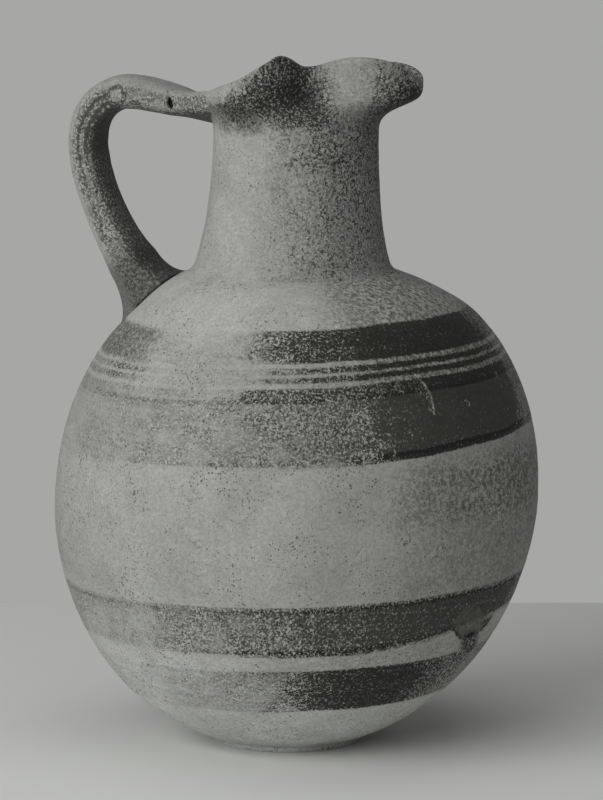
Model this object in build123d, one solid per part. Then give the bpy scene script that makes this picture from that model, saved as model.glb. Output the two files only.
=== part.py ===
from build123d import *
import os
from math import cos, pi, radians, sin, sqrt, tan

# Trefoil-mouthed jug (oinochoe) of fired clay, as a potter assembles it: a foot disc, a lower bowl and a
# shoulder dome joined at the girth, a thrown neck, a pinched mouth, and a strap handle with a clay pad at
# each end. Bands of coloured slip lie flush in the outer skin of the body.
# Frame: origin at the centre of the foot's underside, +Z up, +X towards the spout, handle towards -X.
# The pieces are modelled on the body's upright axis and moved together, since the foot sits off that axis.

# Body: a bowl and a dome, each turned from a quarter curve, that meet at the girth
BELLY_RADIUS = 92.8
BOWL_DEPTH = 96.4          # girth to the point where the bowl's curve would close
FLAT_CUT = 4.6             # cut level off the bottom of that curve, where the bowl sits on its foot
BOWL_FULLNESS = (0.40, 0.69)      # reach of the curve's handles, at the girth and at the bottom
SHOULDER_HEIGHT = 94.6     # girth to the point where the dome would close
SHOULDER_FULLNESS = (0.51, 0.74)  # the same for the dome, at the girth and at the top
BODY_WALL = 5.0
FLOOR_HEIGHT = 7.0         # foot plane to the flat of the inside
SEAM_SLOPE = 35.0          # degrees, bevel of the joint at the girth

# Foot
FOOT_RADIUS = 30.0
FOOT_HEIGHT = 2.2          # floor to the flat under the bowl
FOOT_SHIFT = -3.2          # along X, off the body's axis towards the handle
LOWER_HEIGHT = FOOT_HEIGHT + BOWL_DEPTH - FLAT_CUT        # floor to girth

# Neck, luted on the dome a little off the body's axis
NECK_SHIFT = -0.8          # along X, towards the handle
NECK_HEIGHT = 51.8         # dome to the foot of the mouth
NECK_ROOT_RADIUS = 38.0
NECK_MIDDLE_RADIUS = 33.2
NECK_MIDDLE_HEIGHT = 23.0
NECK_TOP_RADIUS = 31.6
NECK_WALL = 4.6
LUTING_WIDTH = 5.0         # fillet of clay smoothed over the joint

# Mouth: plan radius of the rim at the spout, the pinches, the side lobes and the back, and its rise over the
# neck at the spout, the spout's flanks, the pinches, the crests beside them and the back. The rim is tilted
# across, so one side stands a little higher, as it does on a mouth pinched by hand.
SPOUT_RADIUS = 49.4
SPOUT_RISE = 22.0
FLANK_ANGLE = 25.0
FLANK_RISE = 29.0
PINCH_ANGLE = 62.0
PINCH_RADIUS = 20.0
PINCH_RISE = 21.5
CREST_ANGLE = 88.0
CREST_RISE = 27.0
LOBE_ANGLE = 112.0
LOBE_RADIUS = 38.0
LOBE_RISE = 17.0
BACK_RADIUS = 35.5
BACK_RISE = 13.4
RIM_TILT = 6.0             # degrees, the -Y side up
MOUTH_WALL = 4.4
LIP_ROUND = 1.4
FLARE_HEIGHT = 14.0        # over this height the mouth opens out from the neck

# Handle: a strap that leaves the rim, bends down and lands square on the shoulder
STRAP_WIDTH = 24.0
STRAP_THICKNESS = 13.5
STRAP_EDGE_RADIUS = 5.2
HANDLE_REACH = 0.9 * BELLY_RADIUS         # body axis to the middle of the strap's upright run
HANDLE_TOP_DROP = 0.8      # strap's middle below the rim's back
HANDLE_CREST_RISE = 6.2    # the bend's corner over the strap's start
HANDLE_CREST_BEND = 17.0
HANDLE_ELBOW_DROP = 38.0   # the bend's corner down to the elbow
HANDLE_ELBOW_BEND = 58.0
HANDLE_ROOT_RADIUS = 0.614 * BELLY_RADIUS  # body axis to the middle of the root on the shoulder
TOP_PAD_LENGTH = 12.0
TOP_PAD_WIDTH = 31.0
TOP_PAD_DEPTH = 11.0
ROOT_PAD_LENGTH = 15.0
ROOT_PAD_WIDTH = 33.0
ROOT_PAD_DEPTH = 31.0

# Slip bands: lower and upper edge of each, as heights over the girth
SLIP_DEPTH = 0.5
JOINT_GAP = 0.15           # between a slip band and its bed, and between the luting ring and the neck
SLIP_BANDS = {
    "slip_lower_black_band": (-71.1, -52.9),
    "slip_belly_lower_border": (-47.2, -44.4),
    "slip_belly_red_band": (-44.4, -29.1),
    "slip_belly_upper_border": (-29.1, -26.5),
    "slip_shoulder_lower_border": (25.4, 27.9),
    "slip_shoulder_red_band": (27.9, 48.5),
    "slip_shoulder_upper_border": (48.5, 53.6),
    "slip_fine_line_lower": (55.3, 57.4),
    "slip_fine_line_upper": (58.4, 60.5),
    "slip_shoulder_black_band": (62.1, 73.1),
}

REACH = 3 * BELLY_RADIUS   # larger than anything it cuts


def quarter_curve(girth, height, fullness):
    """Quarter curve from the girth to the axis, over it or, with a negative height, under it."""
    at_girth, at_axis = fullness
    level = LOWER_HEIGHT
    return Bezier((girth, level), (girth, level + at_girth * height),
                  (at_axis * girth, level + height), (0, level + height))


def dome_height(radius):
    """Height of the shoulder's outer skin at a distance from the body's axis."""
    curve = quarter_curve(BELLY_RADIUS, SHOULDER_HEIGHT, SHOULDER_FULLNESS)
    low, high = 0.0, 1.0
    while high - low > 1e-9:
        middle = (low + high) / 2
        if (curve @ middle).X > radius:
            low = middle
        else:
            high = middle
    return (curve @ low).Y


def body_half(inset):
    """Half outline of the body, drawn in from the outer skin."""
    lower = quarter_curve(BELLY_RADIUS - inset, inset - BOWL_DEPTH, BOWL_FULLNESS)
    upper = quarter_curve(BELLY_RADIUS - inset, SHOULDER_HEIGHT - inset, SHOULDER_FULLNESS)
    return make_face([lower, upper, Line(upper @ 1, lower @ 1)])


def level_zone(low, high):
    """Flat region of a section between two heights, from the axis outwards."""
    return make_face(Polyline((0, low), (REACH, low), (REACH, high), (0, high), close=True))


def turned(section, shift=0.0):
    """Solid made by turning a section about an upright axis."""
    return Pos(shift, 0, 0) * revolve(Plane.XZ * section, Axis.Z)


def hollow_half():
    """Half outline of the inside of the body, with a flat bottom."""
    return body_half(BODY_WALL) & level_zone(FLOOR_HEIGHT, REACH)


def seam_zone():
    """Region below the bevelled joint at the girth, down to the foot disc."""
    middle = BELLY_RADIUS - BODY_WALL / 2
    slope = tan(radians(SEAM_SLOPE))
    inner = LOWER_HEIGHT - middle * slope
    outer = LOWER_HEIGHT + (REACH - middle) * slope
    corners = [(0, FOOT_HEIGHT), (REACH, FOOT_HEIGHT), (REACH, outer), (0, inner)]
    return make_face(Polyline(*corners, close=True))


def slip_sections(depth):
    """Section of each slip band, or of its bed, sunk to a depth in the outer skin."""
    skin = body_half(0) - body_half(depth)
    sections = {}
    for name, (low, high) in SLIP_BANDS.items():
        sections[name] = skin & level_zone(LOWER_HEIGHT + low, LOWER_HEIGHT + high)
    return sections


def foot_disc():
    """Disc under the bowl, its upper face pressed to the shape of the bowl's underside."""
    underside = turned(body_half(0) & level_zone(FOOT_HEIGHT, LOWER_HEIGHT))
    return Pos(FOOT_SHIFT, 0, FOOT_HEIGHT / 2) * Cylinder(FOOT_RADIUS, FOOT_HEIGHT) - underside


# Neck, in its own heights over the dome
neck_root = dome_height(NECK_ROOT_RADIUS + abs(NECK_SHIFT))
neck_top = neck_root + NECK_HEIGHT
root_depth = neck_root - dome_height(NECK_ROOT_RADIUS + 2 * abs(NECK_SHIFT) + LUTING_WIDTH) + BODY_WALL


def neck_half(inset):
    """Half outline of the neck, carried down through the dome."""
    root = (NECK_ROOT_RADIUS - inset, neck_root)
    middle = (NECK_MIDDLE_RADIUS - inset, neck_root + NECK_MIDDLE_HEIGHT)
    top = (NECK_TOP_RADIUS - inset, neck_top)
    side = Spline(root, middle, top, tangents=[(-0.25, 1), (0.02, 1)])
    low = neck_root - root_depth
    rest = Polyline(top, (0, neck_top), (0, low), (root[0], low), root)
    return make_face([side, *rest.edges()])


def dome_zone():
    """Region of the dome: outside the core of the neck opening, over the foot."""
    core = (NECK_ROOT_RADIUS - NECK_WALL) / 2
    corners = [(core, FOOT_HEIGHT), (REACH, FOOT_HEIGHT), (REACH, REACH), (core, REACH)]
    return make_face(Polyline(*corners, close=True))


def luting_section():
    """Fillet of clay in the corner between neck and dome."""
    low = neck_root - root_depth
    inner = NECK_ROOT_RADIUS - NECK_WALL / 2
    outer = NECK_ROOT_RADIUS + LUTING_WIDTH
    face = ThreePointArc(
        (outer, dome_height(outer + abs(NECK_SHIFT))),
        (NECK_ROOT_RADIUS + 0.3 * LUTING_WIDTH, neck_root + 0.25 * LUTING_WIDTH),
        (NECK_ROOT_RADIUS - 0.1 * LUTING_WIDTH, neck_root + LUTING_WIDTH),
    )
    rest = Polyline(face @ 1, (inner, neck_root + LUTING_WIDTH), (inner, low), (outer, low), face @ 0)
    return make_face([face, *rest.edges()])


# Plan radius and rise of the rim, from the spout round to the back
rim_plan = [(0, SPOUT_RADIUS), (PINCH_ANGLE, PINCH_RADIUS), (LOBE_ANGLE, LOBE_RADIUS), (180, BACK_RADIUS)]
rim_rise = [(0, SPOUT_RISE), (FLANK_ANGLE, FLANK_RISE), (PINCH_ANGLE, PINCH_RISE), (CREST_ANGLE, CREST_RISE),
            (LOBE_ANGLE, LOBE_RISE), (180, BACK_RISE)]


def eased(stations, angle):
    """Value at an angle, eased between stations."""
    for (low, first), (high, second) in zip(stations, stations[1:]):
        if low <= angle <= high:
            ease = (1 - cos(pi * (angle - low) / (high - low))) / 2
            return first + (second - first) * ease


def mouth_section(angle):
    """Section of the mouth's wall in the upright plane at an angle from the spout."""
    side = min(angle, 360 - angle)
    rim = eased(rim_plan, side)
    turn = radians(angle)
    rise = eased(rim_rise, side) - rim * sin(turn) * tan(radians(RIM_TILT))
    flare = min(FLARE_HEIGHT, 0.8 * rise)
    near = max(side - 1, 0)
    far = min(side + 1, 180)
    slant = (eased(rim_plan, far) - eased(rim_plan, near)) / radians(far - near) / rim
    wall = MOUTH_WALL * sqrt(1 + slant ** 2)
    outer = [(NECK_TOP_RADIUS, 0)]
    inner = [(NECK_TOP_RADIUS - MOUTH_WALL, 0)]
    for level, share in ((0.4, 0.07), (0.7, 0.36), (1, 0.84)):
        radius = NECK_TOP_RADIUS + share * (rim - NECK_TOP_RADIUS)
        outer.append((radius, level * flare))
        inner.append((radius - MOUTH_WALL - share * (wall - MOUTH_WALL), level * flare))
    outer.append((rim, rise))
    inner.append((rim - wall, rise))
    lip = ThreePointArc(outer[-1], (rim - wall / 2, rise + LIP_ROUND), inner[-1])
    sides = [Spline(*outer), lip, Spline(*reversed(inner)), Line(inner[0], outer[0])]
    plane = Plane(origin=(NECK_SHIFT, 0, neck_top), x_dir=(cos(turn), sin(turn), 0),
                  z_dir=(sin(turn), -cos(turn), 0))
    return plane * make_face(sides)


def trefoil_mouth():
    """Wall of the mouth, lofted right round from the back, where the handle covers the start."""
    sections = [mouth_section(angle % 360) for angle in range(180, 540, 12)]
    return loft(sections + sections[:1])


# Handle, in the plane of the spout
strap_start = Vector(NECK_SHIFT - BACK_RADIUS - TOP_PAD_LENGTH, neck_top + BACK_RISE - HANDLE_TOP_DROP)
crest = Vector(-HANDLE_REACH, strap_start.Y + HANDLE_CREST_RISE)
elbow = Vector(-HANDLE_REACH, crest.Y - HANDLE_ELBOW_DROP)
landing = Vector(-HANDLE_ROOT_RADIUS, dome_height(HANDLE_ROOT_RADIUS))
fall = (landing - elbow).normalized()
strap_end = landing - fall * ROOT_PAD_LENGTH


def strap_plane(point, along):
    """Plane square to the handle's run: its x is the strap's width."""
    return Plane(origin=(point.X, 0, point.Y), x_dir=(0, 1, 0), z_dir=(along.X, 0, along.Y))


def strap_section(point, along, width=STRAP_WIDTH, depth=STRAP_THICKNESS):
    """Rounded section of the strap, or of a pad, at a point of the run."""
    edge = min(STRAP_EDGE_RADIUS, 0.45 * depth, 0.45 * width)
    return strap_plane(point, along) * RectangleRounded(width, depth, edge)


def handle_strap():
    run = FilletPolyline(strap_start, crest, elbow, strap_end, radius=[HANDLE_CREST_BEND, HANDLE_ELBOW_BEND])
    path = Plane.XZ * run
    return sweep(strap_section(strap_start, (crest - strap_start).normalized()), path=path)


def handle_top_pad(mouth):
    """Wad of clay between the strap and the back of the rim, up to the outside of the mouth's wall."""
    along = (strap_start - crest).normalized()
    seat = strap_start + along * TOP_PAD_LENGTH
    inside = seat + along * (2 * MOUTH_WALL)
    sections = [
        strap_section(strap_start, along),
        strap_section(seat, along, TOP_PAD_WIDTH, TOP_PAD_DEPTH),
        strap_section(inside, along, TOP_PAD_WIDTH, TOP_PAD_DEPTH),
    ]
    return (loft(sections, ruled=True) - mouth).solids().sort_by(Axis.X)[0]


def handle_root_pad(taken):
    """Flared clay root between the strap and the shoulder."""
    middle = strap_end + fall * (0.55 * ROOT_PAD_LENGTH)
    inside = landing + fall * (ROOT_PAD_DEPTH / 2)
    sections = [
        strap_section(strap_end, fall),
        strap_section(middle, fall, 0.7 * STRAP_WIDTH + 0.3 * ROOT_PAD_WIDTH,
                      0.7 * STRAP_THICKNESS + 0.3 * ROOT_PAD_DEPTH),
        strap_section(landing, fall, ROOT_PAD_WIDTH, ROOT_PAD_DEPTH),
        strap_section(inside, fall, ROOT_PAD_WIDTH, ROOT_PAD_DEPTH),
    ]
    return loft(sections, ruled=True) - taken


def assemble():
    """Every piece on the jug's own axis, by name."""
    slip = slip_sections(SLIP_DEPTH - JOINT_GAP)
    wall = body_half(0) - hollow_half()
    for bed in slip_sections(SLIP_DEPTH).values():
        wall = wall - bed
    seam = seam_zone()
    body = turned(body_half(0))
    neck_outside = turned(neck_half(0), NECK_SHIFT)
    neck_inside = turned(neck_half(NECK_WALL), NECK_SHIFT)
    mouth = trefoil_mouth()
    pieces = {name: turned(section) for name, section in slip.items()}
    pieces["foot_disc"] = foot_disc()
    pieces["lower_bowl"] = turned(wall & seam)
    pieces["shoulder_dome"] = turned((wall - seam) & dome_zone()) - neck_inside
    pieces["neck"] = neck_outside - neck_inside - body
    neck_clear = turned(neck_half(-JOINT_GAP), NECK_SHIFT)
    pieces["neck_luting_ring"] = turned(luting_section(), NECK_SHIFT) - neck_clear - body
    pieces["trefoil_mouth"] = mouth
    pieces["handle_strap"] = handle_strap()
    pieces["handle_top_pad"] = handle_top_pad(mouth + neck_outside)
    pieces["handle_root_pad"] = handle_root_pad(body + neck_outside + turned(luting_section(), NECK_SHIFT))
    return pieces


def main():
    os.makedirs("parts", exist_ok=True)
    for name, piece in assemble().items():
        export_step(Pos(-FOOT_SHIFT, 0, 0) * piece, f"parts/{name}.step")


main()
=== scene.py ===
import bpy
import bmesh
from math import atan2, cos, degrees, hypot, pi, radians, sin, sqrt, tan
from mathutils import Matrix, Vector, noise


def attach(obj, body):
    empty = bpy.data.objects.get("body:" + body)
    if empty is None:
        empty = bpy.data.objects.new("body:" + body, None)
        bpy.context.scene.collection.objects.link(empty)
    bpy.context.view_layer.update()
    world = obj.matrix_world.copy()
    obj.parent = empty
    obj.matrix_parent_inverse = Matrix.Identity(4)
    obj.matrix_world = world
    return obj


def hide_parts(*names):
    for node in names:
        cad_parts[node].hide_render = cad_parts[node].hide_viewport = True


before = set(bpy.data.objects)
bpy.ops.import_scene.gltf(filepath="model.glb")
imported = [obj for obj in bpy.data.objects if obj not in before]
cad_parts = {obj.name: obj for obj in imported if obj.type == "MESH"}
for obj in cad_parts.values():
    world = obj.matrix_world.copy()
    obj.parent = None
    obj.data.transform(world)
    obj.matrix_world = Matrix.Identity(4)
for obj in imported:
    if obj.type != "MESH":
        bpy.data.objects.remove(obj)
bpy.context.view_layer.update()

# Oinochoe: globular jug, neck set on by hand, pinched mouth, strap handle.
# Meshes are shaped in millimetres and scaled to metres when a piece is finished.
scene = bpy.context.scene
mm = 0.001
mergeDistance = 0.002  # mm, closer vertices are one

viewTurn = radians(15)  # the camera stands this far round from -Y towards the spout
viewRight = Vector((cos(viewTurn), sin(viewTurn), 0))
viewFront = Vector((sin(viewTurn), -cos(viewTurn), 0))
upright = Vector((0, 0, 1))


def smoothStep(low, high, value):
    t = min(max((value - low) / (high - low), 0.0), 1.0)
    return t * t * (3 - 2 * t)


def mix(a, b, t):
    return a + (b - a) * t


def eased(stations, at):
    for (low, first), (high, second) in zip(stations, stations[1:]):
        if low <= at <= high:
            return mix(first, second, (1 - cos(pi * (at - low) / (high - low))) / 2)
    return stations[-1][1]


def hermite(stations, at):
    # stations are (position, value, slope)
    for (x0, y0, m0), (x1, y1, m1) in zip(stations, stations[1:]):
        if at <= x1 or (x1, y1, m1) == stations[-1]:
            w = x1 - x0
            t = (at - x0) / w
            return ((2 * t ** 3 - 3 * t ** 2 + 1) * y0 + (t ** 3 - 2 * t ** 2 + t) * w * m0
                    + (3 * t ** 2 - 2 * t ** 3) * y1 + (t ** 3 - t ** 2) * w * m1)


def crossing(rule):
    # where a rule that falls between 0 and 1 passes zero
    low, high = 0.0, 1.0
    for step in range(36):
        middle = (low + high) / 2
        low, high = (middle, high) if rule(middle) > 0 else (low, middle)
    return low


def fingerNoise(point, size):
    return noise.noise(Vector(point) / size)


def pressFingers(bm, waves, fade):
    # uneven skin; waves are height, size and share of x and y, which is small for rings
    for v in bm.verts:
        p = v.co
        swell = sum(height * fingerNoise((p.x * flat, p.y * flat, p.z), size) for height, size, flat in waves)
        v.co = p + v.normal * swell * fade(p)
    bm.normal_update()


def addObject(name, data):
    made = bpy.data.objects.new(name, data)
    scene.collection.objects.link(made)
    return made


def finishPiece(bm, name, material, nodes):
    bmesh.ops.remove_doubles(bm, verts=bm.verts, dist=mergeDistance)
    bmesh.ops.recalc_face_normals(bm, faces=bm.faces)
    bmesh.ops.scale(bm, vec=(mm, mm, mm), verts=bm.verts)
    mesh = bpy.data.meshes.new(name)
    bm.to_mesh(mesh)
    bm.free()
    mesh.polygons.foreach_set("use_smooth", [True] * len(mesh.polygons))
    mesh.materials.append(material)
    piece = addObject(name, mesh)
    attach(piece, "root")
    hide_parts(*nodes)
    print(name, len(mesh.polygons), "faces")


def spinProfile(bm, profile, steps, closed=False):
    verts = [bm.verts.new((r, 0, z)) for r, z in profile]
    edges = [bm.edges.new(pair) for pair in zip(verts, verts[1:])]
    if closed:
        edges.append(bm.edges.new((verts[-1], verts[0])))
    bmesh.ops.spin(bm, geom=verts + edges, cent=(0, 0, 0), axis=(0, 0, 1), angle=2 * pi, steps=steps,
                   use_merge=True)
    bmesh.ops.remove_doubles(bm, verts=bm.verts, dist=mergeDistance)


# Marks in the skin: a place is its middle, its long and short directions and the way out of the clay

# how far round a mark the skin is refined, and its ragged edge
markSkin = dict(reach=0.6, margin=1.5, facing=0.3, cuts=3, grit=2.6, flat=0.5)


def nearMark(v, mark, place):
    reach = mark["length"] * markSkin["reach"] + markSkin["margin"]
    return (v.co - place[0]).length < reach and v.normal.dot(place[3]) > markSkin["facing"]


def refineMark(bm, mark, place):
    edges = [e for e in bm.edges if all(nearMark(v, mark, place) for v in e.verts)]
    bmesh.ops.subdivide_edges(bm, edges=edges, cuts=markSkin["cuts"], use_grid_fill=True)
    bm.normal_update()


def pressMark(bm, mark, place):
    # a lens-shaped hollow; "bare" says how much paint it loses
    marked = bm.verts.layers.float["marked"]
    middle, long, short, outward = place
    for v in [v for v in bm.verts if nearMark(v, mark, place)]:
        away = v.co - middle
        a = 2 * away.dot(long) / mark["length"]
        b = 2 * away.dot(short) / mark["width"] + mark["ragged"] * fingerNoise(v.co, markSkin["grit"])
        share = 1 - smoothStep(markSkin["flat"], 1.0, abs(b) / (1 - a * a)) if abs(a) < 1 else 0.0
        v.co -= v.normal * mark["depth"] * share
        v[marked] = max(v[marked], share * mark.get("bare", 1.0))


# Shader helpers

def plug(tree, socket, value):
    if isinstance(value, bpy.types.NodeSocket):
        tree.links.new(value, socket)
    else:
        socket.default_value = value


def setNode(tree, node, **inputs):
    for key, value in inputs.items():
        plug(tree, node.inputs[key.replace("_", " ")], value)
    return node


def addNode(tree, kind, settings=None, **inputs):
    node = tree.nodes.new(kind)
    for key, value in (settings or {}).items():
        setattr(node, key, value)
    return setNode(tree, node, **inputs)


def calc(tree, operation, *values, kind="ShaderNodeMath"):
    node = addNode(tree, kind, {"operation": operation})
    for socket, value in zip(node.inputs, values):
        plug(tree, socket, value)
    return node.outputs[0]


def times(tree, value, *others):
    for other in others:
        value = calc(tree, "MULTIPLY", value, other)
    return value


def most(tree, first, second):
    return calc(tree, "MAXIMUM", first, second)


def ramp(tree, value, low, high, toLow=0.0, toHigh=1.0, kind="SMOOTHSTEP"):
    node = addNode(tree, "ShaderNodeMapRange", {"interpolation_type": kind})
    for socket, given in zip(node.inputs, (value, low, high, toLow, toHigh)):
        plug(tree, socket, given)
    return node.outputs[0]


def blend(tree, kind, sockets, values):
    node = addNode(tree, "ShaderNodeMix", {"data_type": kind})
    for index, value in zip(sockets, values):
        plug(tree, node.inputs[index], value)
    return node


def blendColor(tree, *values):
    return blend(tree, "RGBA", (0, 6, 7), values).outputs[2]


def blendValue(tree, *values):
    return blend(tree, "FLOAT", (0, 2, 3), values).outputs[0]


def scaleColor(tree, color, factor):
    node = addNode(tree, "ShaderNodeVectorMath", {"operation": "SCALE"}, Scale=factor)
    plug(tree, node.inputs[0], color)
    return node.outputs[0]


def noiseField(tree, vector, scale, detail=2.0, roughness=0.5):
    node = addNode(tree, "ShaderNodeTexNoise", Vector=vector, Scale=scale, Detail=detail, Roughness=roughness)
    return node.outputs["Fac"]


def wanderField(tree, vector, spread, scale, detail=2.0, roughness=0.5):
    # noise that swings about zero, from minus to plus half its spread
    field = noiseField(tree, vector, scale, detail, roughness)
    return calc(tree, "MULTIPLY_ADD", field, spread, -0.5 * spread)


def dotField(tree, vector, direction):
    node = addNode(tree, "ShaderNodeVectorMath", {"operation": "DOT_PRODUCT"})
    plug(tree, node.inputs[0], vector)
    node.inputs[1].default_value = direction
    return node.outputs["Value"]


def curveField(tree, value, points):
    node = addNode(tree, "ShaderNodeFloatCurve", Value=value)
    curve = node.mapping.curves[0]
    curve.points[0].location = points[0]
    curve.points[1].location = points[-1]
    for at in points[1:-1]:
        curve.points.new(*at)
    node.mapping.update()
    return node.outputs[0]


def vertexField(tree, name):
    return addNode(tree, "ShaderNodeAttribute", {"attribute_name": name}).outputs["Fac"]


def ellipseField(tree, across, up, centre, radii):
    # distance from a point of the surface, as a share of the ellipse's radii, all in mm
    parts = []
    for value, middle, radius in zip((across, up), centre, radii):
        part = calc(tree, "DIVIDE", calc(tree, "SUBTRACT", value, middle * mm), radius * mm)
        parts.append(times(tree, part, part))
    return calc(tree, "SQRT", calc(tree, "ADD", *parts))


def stirCover(tree, cover, field, low, high, swing):
    # moves a share of cover up or down with a noise field, most where it is half worn
    half = times(tree, cover, calc(tree, "SUBTRACT", 1.0, cover))
    amount = ramp(tree, field, low, high, -swing, swing, "LINEAR")
    return calc(tree, "MULTIPLY_ADD", half, amount, cover)


def objectVector(tree):
    return addNode(tree, "ShaderNodeTexCoord").outputs["Object"]


def newGroup(name, inputs, outputs):
    # inputs and outputs are values, apart from an output called Color
    group = bpy.data.node_groups.new(name, "ShaderNodeTree")
    for label, value in inputs.items():
        socket = group.interface.new_socket(label, in_out="INPUT", socket_type="NodeSocketFloat")
        socket.default_value = value
    for label in outputs:
        kind = "NodeSocketColor" if label == "Color" else "NodeSocketFloat"
        group.interface.new_socket(label, in_out="OUTPUT", socket_type=kind)
    return group, group.nodes.new("NodeGroupInput"), group.nodes.new("NodeGroupOutput")


def useGroup(tree, group, **inputs):
    return addNode(tree, "ShaderNodeGroup", {"node_tree": group}, **inputs)


clayFinish = dict(
    pale=(0.420, 0.425, 0.403, 1), dull=(0.364, 0.368, 0.348, 1), pit=(0.085, 0.086, 0.078, 1),
    # noise fields: scale, detail, roughness
    mottle=(34.0, 4.0, 0.62), grain=(900.0, 2.0, 0.6), cloud=(210.0, 3.0, 0.6), crowd=(60.0, 3.0, 0.7),
    grainSwing=0.18, cloudSwing=0.07, crowdSwing=(0.6, 1.3), grainHeight=0.5,
    # pits and specks: scale of their cells, largest radius and the share of cells without one
    pits=[(330.0, 0.18, 0.72), (720.0, 0.28, 0.6), (1150.0, 0.35, 0.35)],
    pitRough=0.5, pitEdge=(0.23, 0.31), pitDark=0.8)


def makeClayGround():
    # bare fired clay: mottled, gritty, with small dark pits
    c = clayFinish
    group, given, made = newGroup("clayGround", {"Pits": 1.0}, ["Color", "Height"])
    at = objectVector(group)
    names = ("mottle", "grain", "cloud", "crowd")
    mottle, grain, cloud, crowd = (noiseField(group, at, *c[name]) for name in names)
    ground = blendColor(group, ramp(group, mottle, 0.36, 0.64), c["dull"], c["pale"])
    shades = [ramp(group, field, 0.28, 0.72, 1 - swing, 1 + swing, "LINEAR")
              for field, swing in ((grain, c["grainSwing"]), (cloud, c["cloudSwing"]))]
    ground = scaleColor(group, ground, times(group, *shades))
    crowd = ramp(group, crowd, 0.38, 0.62, *c["crowdSwing"])
    pit = 0.0
    for scale, largest, share in c["pits"]:
        cell = addNode(group, "ShaderNodeTexVoronoi", Vector=at, Scale=scale, Randomness=1.0)
        chance = addNode(group, "ShaderNodeSeparateColor", Color=cell.outputs["Color"]).outputs[0]
        size = ramp(group, chance, share, 1.0, 0.0, largest, "LINEAR")
        size = times(group, size, crowd, given.outputs["Pits"])
        inside = calc(group, "SUBTRACT", size, cell.outputs["Distance"])
        rough = calc(group, "MULTIPLY_ADD", grain, c["pitRough"], inside)
        pit = most(group, pit, ramp(group, rough, *c["pitEdge"]))
    plug(group, made.inputs["Color"], blendColor(group, times(group, pit, c["pitDark"]), ground, c["pit"]))
    plug(group, made.inputs["Height"], calc(group, "SUBTRACT", times(group, grain, c["grainHeight"]), pit))
    return group


flakeFinish = dict(
    crumbs=(1050.0, 2.0, 0.85), patch=(130.0, 4.0, 0.7),  # noise fields: scale, detail, roughness
    crumbShare=0.8, patchStir=2.4, spread=0.061, soft=0.75, strongest=0.97, fullest=0.98,
    # share of the surface that holds slip, by cover: an even film when nearly gone, then crumbs, then whole
    area=[(0, 0.92), (0.14, 0.85), (0.38, 0.65), (0.5, 0.65), (0.62, 0.72), (0.8, 0.87), (0.92, 0.96),
        (1, 1.0)],
    # noise level that leaves such a share: from area, to area, rise
    levels=[(0.5, 0.9, 1.28), (0.9, 1.0, 1.7)],
    thinning=(0.16, -0.19))  # slip is thinner where the level is high: change with cover, at no cover


def makeFlakes():
    # turns a share of cover (0 bare, 1 whole) into flaked paint: a thin film where worn, opaque where whole
    f = flakeFinish
    group, given, made = newGroup("flakedSlip", {"Cover": 0.5}, ["Mask"])
    at = objectVector(group)
    crumbs, patch = noiseField(group, at, *f["crumbs"]), noiseField(group, at, *f["patch"])
    cover = stirCover(group, given.outputs["Cover"], patch, 0.0, 1.0, f["patchStir"])
    total = calc(group, "MULTIPLY_ADD", patch, 1 - f["crumbShare"], times(group, crumbs, f["crumbShare"]))
    level = calc(group, "DIVIDE", calc(group, "SUBTRACT", total, 0.5), f["spread"])
    area = curveField(group, cover, f["area"])
    strength = calc(group, "MINIMUM", calc(group, "DIVIDE", cover, area), f["strongest"])
    wanted = calc(group, "ADD", *(ramp(group, area, low, high, 0.0, rise, "LINEAR")
                                  for low, high, rise in f["levels"]))
    flake = ramp(group, calc(group, "SUBTRACT", wanted, level), -f["soft"], f["soft"])
    thinner = calc(group, "MULTIPLY_ADD", cover, *f["thinning"])
    body = times(group, strength, calc(group, "MULTIPLY_ADD", level, thinner, 1.0))
    plug(group, made.inputs["Mask"], calc(group, "MINIMUM", times(group, flake, body), f["fullest"]))
    return group


def makeBand():
    # one brushed band between two heights, both in metres
    inputs = {"Height": 0.0, "Low": 0.0, "High": 0.01, "Edge": 0.0005}
    group, given, made = newGroup("slipBand", inputs, ["Mask"])
    out = given.outputs
    sides = []
    for label in ("Low", "High"):
        sides.append(ramp(group, out["Height"], calc(group, "SUBTRACT", out[label], out["Edge"]),
                          calc(group, "ADD", out[label], out["Edge"])))
    plug(group, made.inputs["Mask"], calc(group, "SUBTRACT", sides[0], sides[1]))
    return group


def makeAround():
    # turn about the upright axis, 0.5 at the camera side, 0.75 to its right, 0 and 1 at the far side
    group, given, made = newGroup("turnAround", {"Axis X": 0.0}, ["Turn", "Across"])
    at = objectVector(group)
    shift = addNode(group, "ShaderNodeCombineXYZ", X=given.outputs["Axis X"])
    local = calc(group, "SUBTRACT", at, shift.outputs[0], kind="ShaderNodeVectorMath")
    across = dotField(group, local, viewRight)
    turn = calc(group, "ARCTAN2", across, dotField(group, local, viewFront))
    plug(group, made.inputs["Turn"], calc(group, "MULTIPLY_ADD", turn, 0.5 / pi, 0.5))
    plug(group, made.inputs["Across"], across)
    return group


clayGround = makeClayGround()
flakedSlip = makeFlakes()
slipBand = makeBand()
turnAround = makeAround()
slipTone = dict(black=(0.022, 0.023, 0.019, 1), red=(0.050, 0.052, 0.045, 1), washAndShade=(0.125, 0.127, 0.112, 1))

skinFinish = dict(bump=0.55, bumpDepth=0.00035, specular=0.1, slipHeight=0.4, bareRough=0.84, slipRough=0.66)


def startMaterial(name):
    material = bpy.data.materials.new(name)
    material.use_nodes = True
    return material, material.node_tree


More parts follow.
